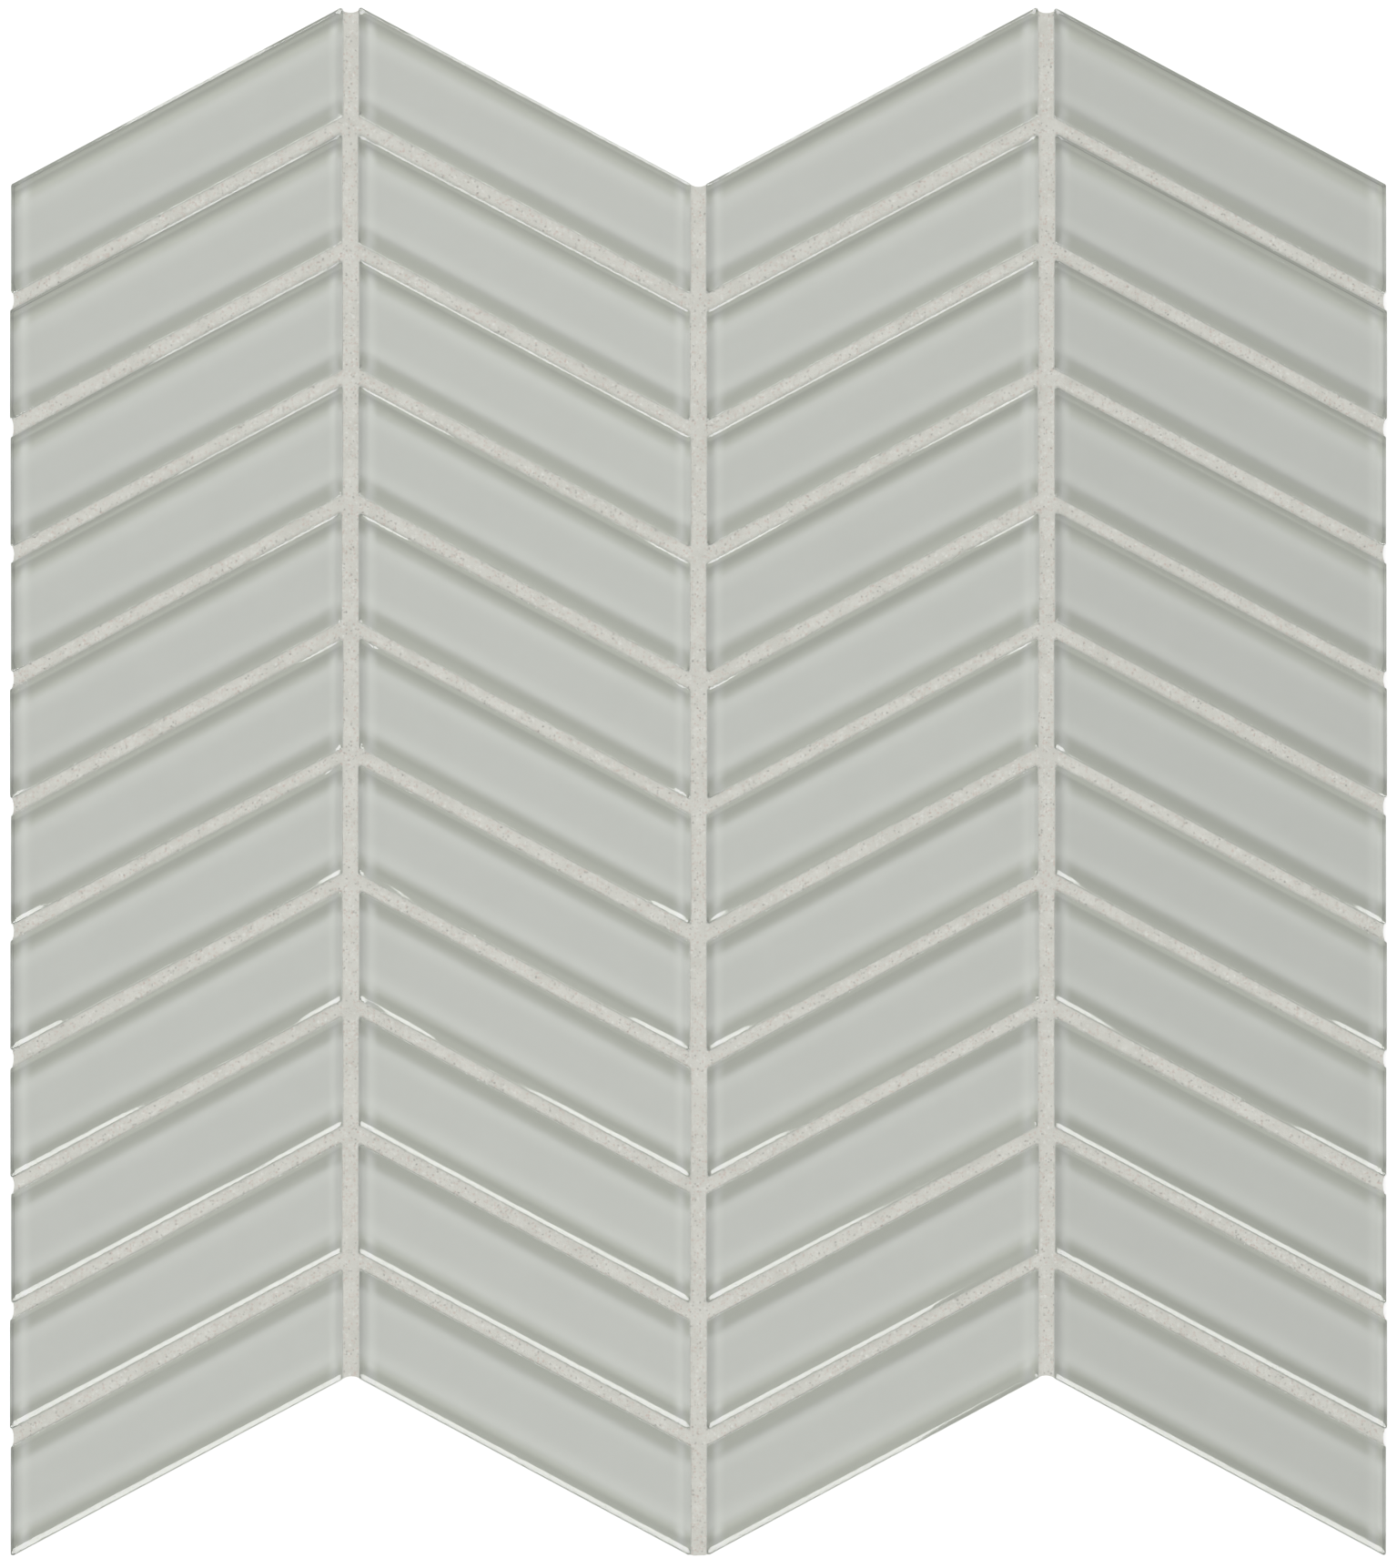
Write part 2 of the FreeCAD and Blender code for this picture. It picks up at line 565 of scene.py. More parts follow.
@dataclass(frozen=True)
class SandedGrout:
    """Cement grout with sand in it: pale grains, rosy ones, a few grey ones, and fine pores."""

    dark: Colour = (0.590, 0.588, 0.540)
    light: Colour = (0.655, 0.653, 0.605)
    cloud_scale: float = 220.0
    roughness: Range = (0.82, 0.95)
    gloss: float = 0.25
    quartz: Sand = Sand((0.720, 0.722, 0.682), 0.30, 1300.0)
    rosy: Sand = Sand((0.560, 0.465, 0.415), 0.32, 1690.0)
    grey: Sand = Sand((0.320, 0.310, 0.285), 0.12, 1950.0)
    sand_depth: float = 0.15 * MM
    sand_strength: float = 0.5
    fine_scale: float = 4200.0
    fine_depth: float = 0.06 * MM

    def material(self, effects: SharedEffects) -> bpy.types.Material:
        """Build the grout's material.

        Args:
            effects: The shared node groups.

        Returns:
            A rough, speckled material.
        """
        sheet = FinishSheet("sanded_grout")
        clouds = effects.cloudy(sheet, self.cloud_scale, self.dark, self.light)
        colour, height = clouds.outputs["Color"], 0.0
        for sand in (self.quartz, self.rosy, self.grey):
            grains = sheet.group(effects.grains, Vector=sheet.place, Scale=sand.scale, Share=sand.share)
            colour = sheet.mix(grains.outputs["Mask"], colour, sand.tint)
            height = sheet.math("MAXIMUM", height, grains.outputs["Height"])
        fine = sheet.node("ShaderNodeTexNoise", Vector=sheet.place, Scale=self.fine_scale, Detail=2.0)
        pores = sheet.bump(fine.outputs["Fac"], self.fine_depth)
        grout = sheet.node(
            "ShaderNodeBsdfPrincipled",
            Base_Color=colour,
            Roughness=sheet.between(clouds.outputs["Value"], self.roughness),
            Specular_IOR_Level=self.gloss,
            Normal=sheet.bump(height, self.sand_depth, Strength=self.sand_strength, Normal=pores),
        )
        return sheet.surface(grout)


@dataclass(frozen=True)
class GlassYarn:
    """Coated glass-fibre yarn: off-white bundles whose fibres wind round the strand, with painted shade in
    the grooves between the fibres.
    """

    dark: Colour = (0.60, 0.60, 0.56)
    light: Colour = (0.80, 0.80, 0.76)
    cloud_scale: float = 400.0
    roughness: Range = (0.4, 0.6)
    fibre_depth: float = 0.05 * MM
    groove_shade: float = 0.35

    def material(self, effects: SharedEffects) -> bpy.types.Material:
        """Build the yarn's material, which follows the winding kept on each strand.

        Args:
            effects: The shared node groups.

        Returns:
            An opaque fibrous material.
        """
        sheet = FinishSheet("glass_yarn")
        clouds = effects.cloudy(sheet, self.cloud_scale, self.dark, self.light)
        winding = sheet.node("ShaderNodeAttribute", attribute_name=STRAND_WINDING)
        ridge = sheet.math("MULTIPLY", sheet.math("PINGPONG", winding.outputs["Fac"], 0.5), 2.0)
        # Painted shade: darker in the grooves between the fibres
        shade = sheet.between(ridge, (self.groove_shade, 0.0))
        yarn = sheet.node(
            "ShaderNodeBsdfPrincipled",
            Base_Color=sheet.mix(shade, clouds.outputs["Color"], self.dark),
            Roughness=sheet.between(clouds.outputs["Value"], self.roughness),
            Normal=sheet.bump(ridge, self.fibre_depth),
        )
        return sheet.surface(yarn)


def finish_mesh(name: str, points: np.ndarray, faces: list[list[int]], sharp_deg: float) -> bpy.types.Mesh:
    """Put points and faces into a mesh with smooth faces and sharp edges.

    Args:
        name: The mesh's name.
        points: Vertex positions in metres, one row each.
        faces: Vertex numbers of each face.
        sharp_deg: Edges that turn by more than this stay sharp.

    Returns:
        The new mesh.
    """
    mesh = bpy.data.meshes.new(name)
    mesh.from_pydata(points.tolist(), [], faces)
    mesh.polygons.foreach_set("use_smooth", np.ones(len(mesh.polygons), dtype=bool))
    mesh.set_sharp_from_angle(angle=math.radians(sharp_deg))
    mesh.update()
    return mesh


def keep_on_points(mesh: bpy.types.Mesh, name: str, values: np.ndarray) -> None:
    """Keep values on a mesh's points for its finish to read.

    Args:
        mesh: The mesh.
        name: The attribute's name.
        values: One number for each point, or one row of four.
    """
    kind, key = ("FLOAT", "value") if values.ndim == 1 else ("FLOAT_COLOR", "color")
    kept = mesh.attributes.new(name, kind, "POINT")
    kept.data.foreach_set(key, values.astype(np.float32).ravel())


def add_object(name: str, data: bpy.types.ID) -> bpy.types.Object:
    """Make an object and link it to the scene.

    Args:
        name: The object's name.
        data: The mesh, lamp or camera that it holds.

    Returns:
        The new object.
    """
    made = bpy.data.objects.new(name, data)
    bpy.context.scene.collection.objects.link(made)
    return made


def put_in_scene(
    mesh: bpy.types.Mesh, node: str, finishes: list[bpy.types.Material]
) -> bpy.types.Object:
    """Stand a new mesh in for a CAD node, riding on the sheet's one body.

    Args:
        mesh: The mesh, with its place in its vertices.
        node: The CAD node that it replaces.
        finishes: The mesh's materials, in the order of its faces' material numbers.

    Returns:
        The new object.
    """
    for finish in finishes:
        mesh.materials.append(finish)
    piece = add_object(mesh.name, mesh)
    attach(piece, "root")
    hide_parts(node)
    log.info("%s: %d faces", piece.name, len(mesh.polygons))
    return piece


def node_points(node: str) -> np.ndarray:
    """Read the vertex positions of a CAD node.

    Args:
        node: The node's name.

    Returns:
        One row for each vertex, in metres.
    """
    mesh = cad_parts[node].data
    points = np.empty(len(mesh.vertices) * 3, dtype=np.float32)
    mesh.vertices.foreach_get("co", points)
    return points.reshape(-1, 3).astype(float)


def chip_node(column: int, row: int) -> str:
    """The CAD node of the chip in a column and row, counted from the top left."""
    return f"chip_c{column + 1}_r{row + 1:02d}"


def plan_corners(node: str) -> np.ndarray:
    """The four corners of a chip's back, anticlockwise from the lower left.

    Args:
        node: The chip's CAD node.

    Returns:
        A 4 by 2 array of x and y.
    """
    points = node_points(node)
    back = points[points[:, 2] < points[:, 2].min() + SAME_PLACE, :2]
    corners = np.unique(np.round(back, 7), axis=0)
    left = corners[np.argsort(corners[:, 0])]
    low_left, high_left = left[:2][np.argsort(left[:2, 1])]
    low_right, high_right = left[2:][np.argsort(left[2:, 1])]
    return np.array([low_left, low_right, high_right, high_left])


@dataclass
class Plan:
    """The four-sided plan of a chip, with its corners rounded."""

    corners: np.ndarray
    ahead: np.ndarray = field(init=False)
    behind: np.ndarray = field(init=False)
    sine: np.ndarray = field(init=False)

    def __post_init__(self) -> None:
        """Work out the unit vectors along the two sides at each corner, and the sine of its angle."""
        ahead = np.roll(self.corners, -1, axis=0) - self.corners
        behind = np.roll(self.corners, 1, axis=0) - self.corners
        self.ahead = ahead / np.linalg.norm(ahead, axis=1, keepdims=True)
        self.behind = behind / np.linalg.norm(behind, axis=1, keepdims=True)
        self.sine = self.ahead[:, 0] * self.behind[:, 1] - self.ahead[:, 1] * self.behind[:, 0]

    def inner_points(self, depth: np.ndarray) -> np.ndarray:
        """The points near the corners that lie at given depths inside the two sides.

        With unit vectors a and b from a corner along its sides and the angle t between them, the point at
        depth p inside the side along a and q inside the side along b is the corner plus (a q + b p) / sin t.

        Args:
            depth: Depth inside each side, as rings by 4; side i starts at corner i.

        Returns:
            Points as rings by 4 by 2.
        """
        before = np.roll(depth, 1, axis=1)
        along = self.ahead[None] * before[:, :, None] + self.behind[None] * depth[:, :, None]
        return self.corners[None] + along / self.sine[None, :, None]

    def rings(
        self,
        inset: np.ndarray,
        radius: np.ndarray,
        height: np.ndarray,
        arc_steps: int,
        side_steps: list[int],
    ) -> np.ndarray:
        """Outlines moved in from the sides and rounded at the corners, at heights that differ between sides.

        Each corner arc turns about the point that lies inset plus radius inside both sides, from one side's
        outward normal to the next one's. Along the arc the height eases from one side's to the other's.

        Args:
            inset: Distance from each side, as rings by 4.
            radius: Corner radius of each ring.
            height: Height at each side, as rings by 4.
            arc_steps: Steps in a corner arc.
            side_steps: Steps along each of the four sides.

        Returns:
            Points as rings by points by 3.
        """
        turn = math.pi - np.arctan2(self.sine, (self.ahead * self.behind).sum(axis=1))
        centres = self.inner_points(inset + radius[:, None])
        first_normal = np.arctan2(self.behind[:, 0], -self.behind[:, 1])
        share = np.linspace(0, 1, arc_steps + 1)
        angles = first_normal[:, None] + turn[:, None] * share[None, :]
        spokes = np.stack([np.cos(angles), np.sin(angles)], axis=-1)
        arcs = centres[:, :, None, :] + radius[:, None, None, None] * spokes[None]
        ease = share * share * (3 - 2 * share)
        before = np.roll(height, 1, axis=1)
        arc_height = before[:, :, None] + (height - before)[:, :, None] * ease
        arcs = np.concatenate([arcs, arc_height[..., None]], axis=-1)
        pieces = []
        for side in range(4):
            start, end = arcs[:, side, -1:], arcs[:, (side + 1) % 4, :1].copy()
            end[..., 2] = start[..., 2]
            run = np.linspace(0, 1, side_steps[side] + 1)[1:-1, None]
            pieces += [arcs[:, side], start + (end - start) * run]
        return np.concatenate(pieces, axis=1)

    def depths(self, points: np.ndarray) -> np.ndarray:
        """How far points lie inside each of the four sides, as points by 4."""
        offset = points[:, None, :] - self.corners[None]
        return self.ahead[None, :, 0] * offset[..., 1] - self.ahead[None, :, 1] * offset[..., 0]

    def distance(self, points: np.ndarray, radius: float) -> np.ndarray:
        """How far points lie outside the rounded plan.

        The plan is shrunk by the corner radius. The distance is that to the nearest of its four sides, as
        segments, less the radius.

        Args:
            points: Points as rows of x and y.
            radius: The corner radius.

        Returns:
            One distance for each point, in metres.
        """
        start = self.inner_points(np.full((1, 4), radius))[0]
        run = np.roll(start, -1, axis=0) - start
        offset = points[:, None, :] - start[None]
        share = np.clip((offset * run[None]).sum(axis=2) / (run * run).sum(axis=1)[None], 0, 1)
        return np.linalg.norm(offset - share[..., None] * run[None], axis=2).min(axis=1) - radius

    def pull_to_arcs(self, points: np.ndarray, radius: float) -> np.ndarray:
        """Move points that lie off a rounded corner onto its arc, along the line to the arc's centre.

        Args:
            points: Points as rows of x and y, near this plan's border.
            radius: The corner radius.

        Returns:
            The moved points.
        """
        centres = self.inner_points(np.full((1, 4), radius))[0]
        offset = points[:, None, :] - centres[None]
        length = np.linalg.norm(offset, axis=2)
        off = ((offset * self.ahead[None]).sum(axis=2) < 0) & ((offset * self.behind[None]).sum(axis=2) < 0)
        off &= (length > radius) & (length < 4 * radius)
        which = np.argmax(off, axis=1)
        rows = np.arange(len(points))
        moved = centres[which] + offset[rows, which] * (radius / length[rows, which])[:, None]
        return np.where(off.any(axis=1)[:, None], moved, points)


def ripple(run: np.ndarray, rng: np.random.Generator, waves: tuple[float, ...]) -> np.ndarray:
    """A smooth wander along a length: the mean of sines of given wavelengths with random phases.

    Args:
        run: Positions along the length.
        rng: The source of the phases.
        waves: Wavelengths, in the unit of the positions.

    Returns:
        Values between -1 and 1.
    """
    phases = rng.uniform(0, 2 * math.pi, len(waves))
    turns = 2 * math.pi * run[..., None] / np.array(waves) + phases
    return np.sin(turns).mean(axis=-1)


def lattice_noise(points: np.ndarray, pitch: float, seed: int) -> np.ndarray:
    """Smooth noise over a plan: random values on a square lattice, eased between its four nearest points.

    Args:
        points: Points as rows of x and y.
        pitch: The lattice's pitch.
        seed: Seed of the lattice's values.

    Returns:
        Values between -1 and 1.
    """
    spot = (points - points.min(axis=0)) / pitch
    cell = spot.astype(int)
    part = spot - cell
    ease = part * part * (3 - 2 * part)
    values = np.random.default_rng(seed).uniform(-1, 1, tuple(cell.max(axis=0) + 2))
    column, row = cell.T
    low = values[column, row] * (1 - ease[:, 0]) + values[column + 1, row] * ease[:, 0]
    high = values[column, row + 1] * (1 - ease[:, 0]) + values[column + 1, row + 1] * ease[:, 0]
    return low * (1 - ease[:, 1]) + high * ease[:, 1]


def closed_stack(rings: np.ndarray) -> tuple[np.ndarray, list[list[int]]]:
    """Join rings, from the lowest to the last, and close both ends with a fan to the ring's middle.

    Args:
        rings: Points as rings by points by 3, anticlockwise from above.

    Returns:
        Points as rows, and faces: the bands from the lowest up, the lower fan and the upper fan.
    """
    count, around = rings.shape[:2]
    ring = np.arange(around)
    ahead = np.roll(ring, -1)
    lower = (np.arange(count - 1) * around)[:, None]
    bands = np.stack([lower + ring, lower + ahead, lower + around + ahead, lower + around + ring], axis=-1)
    last, low_pole = (count - 1) * around, count * around
    low_fan = np.stack([ahead, ring, np.full(around, low_pole)], axis=-1)
    high_fan = np.stack([last + ring, last + ahead, np.full(around, low_pole + 1)], axis=-1)
    points = np.concatenate([rings.reshape(-1, 3), rings[[0, -1]].mean(axis=1)])
    return points, bands.reshape(-1, 4).tolist() + low_fan.tolist() + high_fan.tolist()


def per_side(lower: float, other: float) -> np.ndarray:
    """A value for each of a chip's four sides: one for the lower side, and one for the other three."""
    return np.array([lower, other, other, other])


@dataclass
class GlassChip:
    """One chip: clear glass with eased face edges, in a thin opaque coat on its walls and back."""

    node: str
    number: int
    column_tone: float
    corner_fall: float
    lower_ease: float = 1.75 * MM
    other_ease: float = 0.6 * MM
    lower_slope_deg: float = 9.3
    other_slope_deg: float = 7.5
    lower_blend: float = 0.5
    other_blend: float = 0.35
    lower_rim: float = 0.28 * MM
    other_rim: float = 0.10 * MM
    corner: float = 0.5 * MM
    face_corner: float = 1.1 * MM
    wall_gap: float = 0.012 * MM
    coat_wall: float = 0.03 * MM
    # The clear step between the glass, its coat and the mesh
    layer: float = 0.01 * MM
    ease_wander: float = 0.05
    ease_waves: tuple[float, ...] = (1 / 2, 1 / 3, 1 / 5)
    corner_reach: float = 30.0 * MM
    tone_spread: float = 0.01
    hue_share: float = 0.3
    flat_rings: Range = (0.08, 0.5)
    rim_steps: int = 4
    ease_steps: int = 8
    arc_steps: int = 6
    long_steps: int = 48
    end_steps: int = 16
    plan: Plan = field(init=False)
    base: float = field(init=False)
    top: float = field(init=False)

    def __post_init__(self) -> None:
        """Read the chip's place from its CAD node."""
        low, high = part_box(self.node)
        self.base, self.top = low.z + 3 * self.layer, high.z
        self.plan = Plan(plan_corners(self.node))

    def section(self) -> tuple[np.ndarray, np.ndarray, np.ndarray, np.ndarray]:
        """The profile from the back edge up the wall and over the eased edge, for each of the four sides.

        The wall is upright. The rim is an arc that turns from upright to the ease's slope. The ease is flat,
        and over its last share, the blend, it turns level as a parabola: with s the slope and b the blend,
        its fall at share t of its run is s (1 - t - b / 2) up to 1 - b, and s (1 - t) squared / 2 b past it.

        Returns:
            Inset, the ease's part of the depth below the face and the rest of it, each as rings by 4, and
            the corner radius of each ring.
        """
        ease = per_side(self.lower_ease, self.other_ease)
        slope = np.radians(per_side(self.lower_slope_deg, self.other_slope_deg))
        blend = per_side(self.lower_blend, self.other_blend)
        rim = per_side(self.lower_rim, self.other_rim)
        turn = np.linspace(0, 1, self.rim_steps + 1)[:, None] * (math.pi / 2 - slope)
        rim_inset = rim * (1 - np.cos(turn))
        flat = np.array(self.flat_rings)[:, None] * (1 - blend)
        rise = np.concatenate([flat, 1 - np.linspace(1, 0, self.ease_steps)[:, None] * blend])
        share = np.where(rise < 1 - blend, 1 - rise - blend / 2, (1 - rise) ** 2 / (2 * blend))
        drop = (ease - rim_inset[-1]) * np.tan(slope)
        ease_inset = rim_inset[-1] + (ease - rim_inset[-1]) * rise
        foot, none = np.full((1, 4), self.top - self.base), np.zeros((1, 4))
        inset = np.concatenate([none, rim_inset, ease_inset, ease[None] + self.other_ease])
        under_ease = np.broadcast_to(drop * (1 - blend / 2), turn.shape)
        ease_fall = np.concatenate([none, under_ease, drop * share, none])
        under_rim = rim * (np.sin(turn[-1]) - np.sin(turn))
        rim_fall = np.concatenate([foot, under_rim, np.zeros((len(rise) + 1, 4))])
        grown = np.concatenate([np.zeros(len(turn) + 1), rise.mean(axis=1), [1.0]])
        return inset, ease_fall, rim_fall, self.corner + (self.face_corner - self.corner) * grown

    def outlines(self, inset: np.ndarray, radius: np.ndarray, height: np.ndarray) -> np.ndarray:
        """The plan's rings, with this chip's steps round its corners and along its sides."""
        side_steps = 2 * [self.long_steps, self.end_steps]
        return self.plan.rings(inset, radius, height, self.arc_steps, side_steps)

    def glass_rings(self) -> np.ndarray:
        """Carry the profile round the plan, with an ease whose depth wanders and grows towards the corners.

        At distance d from the nearest corner the depth grows by corner_fall times (1 - d / corner_reach)
        squared.

        Returns:
            Points as rings by points by 3, from the back edge to the flat of the face.
        """
        inset, ease_fall, rim_fall, radius = self.section()
        inset = inset + self.wall_gap + self.coat_wall + self.layer
        rings = self.outlines(inset, radius, -ease_fall)
        lower = self.outlines(inset, radius, -rim_fall)[..., 2]
        step = np.linalg.norm(np.diff(rings[0, :, :2], axis=0, append=rings[0, :1, :2]), axis=1)
        turns = np.cumsum(step) / step.sum()
        rng = np.random.default_rng(Seed.CHIP_EASE + self.number)
        apart = np.linalg.norm(rings[0, :, None, :2] - self.plan.corners[None], axis=2).min(axis=1)
        growth = self.corner_fall * np.clip(1 - apart / self.corner_reach, 0, 1) ** 2
        rings[..., 2] *= 1 + growth + self.ease_wander * ripple(turns, rng, self.ease_waves)
        rings[..., 2] += self.top + lower
        return rings

    def build_glass(self) -> bpy.types.Mesh:
        """The clear body, closed over its face and its back."""
        return finish_mesh(f"glass_{self.node}", *closed_stack(self.glass_rings()), sharp_deg=40)

    def build_coat(self) -> bpy.types.Mesh:
        """A thin tray round the body: up the outside of the walls, over their tops, and down to the floor.

        Returns:
            The coat's mesh, with a material number on each face, and the chip's tone and the distances to
            its four sides in millimetres kept on the points.
        """
        outer, inner = np.full((2, 4), self.wall_gap), np.full((2, 4), self.wall_gap + self.coat_wall)
        rings = self.outlines(np.concatenate([outer, inner]), np.full(4, self.corner), np.zeros((4, 4)))
        rings[:, :, 2] = self.base - self.layer * np.array([2, 0, 0, 1])[:, None]
        rings[1:3, :, 2] = self.glass_rings()[1, :, 2] - self.layer
        points, faces = closed_stack(rings)
        mesh = finish_mesh(f"coat_{self.node}", points, faces, sharp_deg=40)
        zones = np.full(len(faces), ChipZone.BACK, dtype=np.int32)
        zones[: 3 * rings.shape[1]] = ChipZone.WALL
        mesh.polygons.foreach_set("material_index", zones)
        rng = np.random.default_rng(Seed.CHIP_TONE + self.number)
        darker = rng.uniform(0, 1) + self.hue_share * rng.uniform(0, 1, 3)
        tone = np.append(self.column_tone - self.tone_spread * darker, 1.0)
        keep_on_points(mesh, COAT_TONE, np.tile(tone, (len(points), 1)))
        keep_on_points(mesh, FROM_SIDES, self.plan.depths(points[:, :2]) / MM)
        return mesh

    def dress(self, glass: bpy.types.Material, coat: list[bpy.types.Material]) -> None:
        """Put the body and its coat in the scene; light reaches the coat through the body unbent.

        Args:
            glass: The body's finish.
            coat: The coat's finishes, one for each ChipZone, in order.
        """
        body = put_in_scene(self.build_glass(), self.node, [glass])
        body.visible_shadow = False
        put_in_scene(self.build_coat(), self.node, coat)


@dataclass(frozen=True)
class JointEnd:
    """The free end of a joint on the sheet's border: set back at the chips and hollowed between them."""

    set_back: float
    hollow: float

    def pull(self, across: np.ndarray) -> np.ndarray:
        """How far the end is pulled in at shares across the joint: the set-back plus a parabola."""
        return self.set_back + self.hollow * 4 * across * (1 - across)


@dataclass
class GroutBed:
    """The grout: a strip in each joint, dished by the jointing tool, all joined into one casting."""

    chips: list[GlassChip]
    node: str = "grout"
    rim_level: float = 7.82 * MM
    dish: float = 0.32 * MM
    dish_reach: float = 1.4 * MM
    step: float = 0.8 * MM
    near_corner: tuple[float, ...] = (0.0, 0.2 * MM, 0.45 * MM, 0.85 * MM)
    across_steps: int = 6
    peak: JointEnd = JointEnd(0.9 * MM, 0.4 * MM)
    tip: JointEnd = JointEnd(0.12 * MM, 0.04 * MM)
    notch: JointEnd = JointEnd(0.1 * MM, 0.45 * MM)
    side: JointEnd = JointEnd(0.4 * MM, 0.35 * MM)
    end_reach: float = 5.0 * MM
    swell: float = 0.10 * MM
    swell_pitch: float = 11.0 * MM
    lump: float = 0.05 * MM
    lump_pitch: float = 2.2 * MM
    grit: float = 0.02 * MM
    touch: float = 0.005 * MM
    merge_step: float = 0.0001 * MM
    merge_offset: float = 0.29
    corners: np.ndarray = field(init=False)
    base: float = field(init=False)

    def __post_init__(self) -> None:
        """Gather the corners of all chips, as columns by rows by 4 by 2."""
        self.corners = np.array([chip.plan.corners for chip in self.chips]).reshape(COLUMNS, ROWS, 4, 2)
        self.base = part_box(self.node)[0].z

    def stations(self, length: float) -> np.ndarray:
        """Where the grid has lines along a chip's side: even steps, and short ones near the corners.

        Args:
            length: The side's length.

        Returns:
            Shares of the length, from 0 to 1.
        """
        near = np.array(self.near_corner)
        even = np.linspace(near[-1], length - near[-1], round((length - 2 * near[-1]) / self.step) + 1)
        return np.concatenate([near[:-1], even, length - near[-2::-1]]) / length

    def row_grids(self) -> np.ndarray:
        """Grids in the slanted joints, between the lower side of one chip and the upper side of the next.

        A grid point is the mix, by the share t across the joint, of the points at share a along both sides.
        The ends on the sheet's left and right border are pulled in.

        Returns:
            Points as joints by stations by steps across by 2.
        """
        above_left, above_right = self.corners[:, :-1, 0], self.corners[:, :-1, 1]
        below_left, below_right = self.corners[:, 1:, 3], self.corners[:, 1:, 2]
        length = np.linalg.norm(above_right[0, 0] - above_left[0, 0])
        along = self.stations(length)
        across = np.linspace(0, 1, self.across_steps + 1)
        above = above_left[:, :, None] + (above_right - above_left)[:, :, None] * along[:, None]
        below = below_left[:, :, None] + (below_right - below_left)[:, :, None] * along[:, None]
        grid = above[..., None, :] + (below - above)[..., None, :] * across[:, None]
        pull = self.side.pull(across)[None, :, None]
        near_left = np.clip(1 - along * length / self.end_reach, 0, 1)[:, None, None]
        slope = ((above_right - above_left) / length)[:, :, None, None]
        grid[0] += pull * near_left * slope[0]
        grid[-1] -= pull * near_left[::-1] * slope[-1]
        return grid.reshape(-1, *grid.shape[2:])

    def column_grids(self) -> np.ndarray:
        """Grids in the upright joints, between the right ends of one column and the left ends of the next.

        Down each border, intervals along a chip take turns with intervals across a slanted joint, whose
        points are those of that joint's own grid. A grid point mixes both borders. The top and bottom ends
        are pulled in, furthest at the peaks along the top.

        Returns:
            Points as joints by stations by steps across by 2.
        """
        length = np.linalg.norm(self.corners[0, 0, 2] - self.corners[0, 0, 1])
        chip_part = self.stations(length)
        gap_part = np.linspace(0, 1, self.across_steps + 1)[1:-1]
        across = np.linspace(0, 1, self.across_steps + 1)

        def border(upper: np.ndarray, lower: np.ndarray) -> np.ndarray:
            """Go down one border of an upright joint.

            Args:
                upper: The upper corners of a column's chips on that border.
                lower: Their lower corners.

            Returns:
                Points as rows of x and y.
            """
            on_chips = upper[:, None] + (lower - upper)[:, None] * chip_part[:, None]
            in_gaps = lower[:-1, None] + (upper[1:] - lower[:-1])[:, None] * gap_part[:, None]
            gaps = np.concatenate([in_gaps, np.full((1, *in_gaps.shape[1:]), np.nan)])
            points = np.concatenate([on_chips, gaps], axis=1).reshape(-1, 2)
            return points[~np.isnan(points[:, 0])]

        grids = []
        for joint in range(COLUMNS - 1):
            left = border(self.corners[joint, :, 2], self.corners[joint, :, 1])
            right = border(self.corners[joint + 1, :, 3], self.corners[joint + 1, :, 0])
            grid = left[:, None] + (right - left)[:, None] * across[:, None]
            rises = self.corners[joint, 0, 2, 1] > self.corners[joint, 0, 3, 1]
            top, bottom = (self.peak, self.notch) if rises else (self.notch, self.tip)
            near_top = np.clip(1 - (grid[:1, :, 1] - grid[..., 1]) / self.end_reach, 0, 1)
            near_bottom = np.clip(1 - (grid[..., 1] - grid[-1:, :, 1]) / self.end_reach, 0, 1)
            grid[..., 1] -= top.pull(across)[None] * near_top
            grid[..., 1] += bottom.pull(across)[None] * near_bottom
            grids.append(grid)
        return np.array(grids)

    def height(self, plan: np.ndarray) -> np.ndarray:
        """Level of the grout: a rim at the chips, a smooth dish between them, and the sand's unevenness.

        The dish at distance d from the nearest chip is its depth times 1 - (1 - d / reach) squared.

        Args:
            plan: Points as rows of x and y.

        Returns:
            One height for each point.
        """
        nearest = np.full(len(plan), np.inf)
        for chip in self.chips:
            nearest = np.minimum(nearest, chip.plan.distance(plan, chip.corner))
        share = np.clip(nearest / self.dish_reach, 0, 1)
        level = self.rim_level - self.dish * (1 - (1 - share) ** 2)
        level += self.swell * lattice_noise(plan, self.swell_pitch, Seed.SWELL)
        level += self.lump * lattice_noise(plan, self.lump_pitch, Seed.LUMP)
        return level + self.grit * np.random.default_rng(Seed.GRIT).uniform(-1, 1, len(plan))

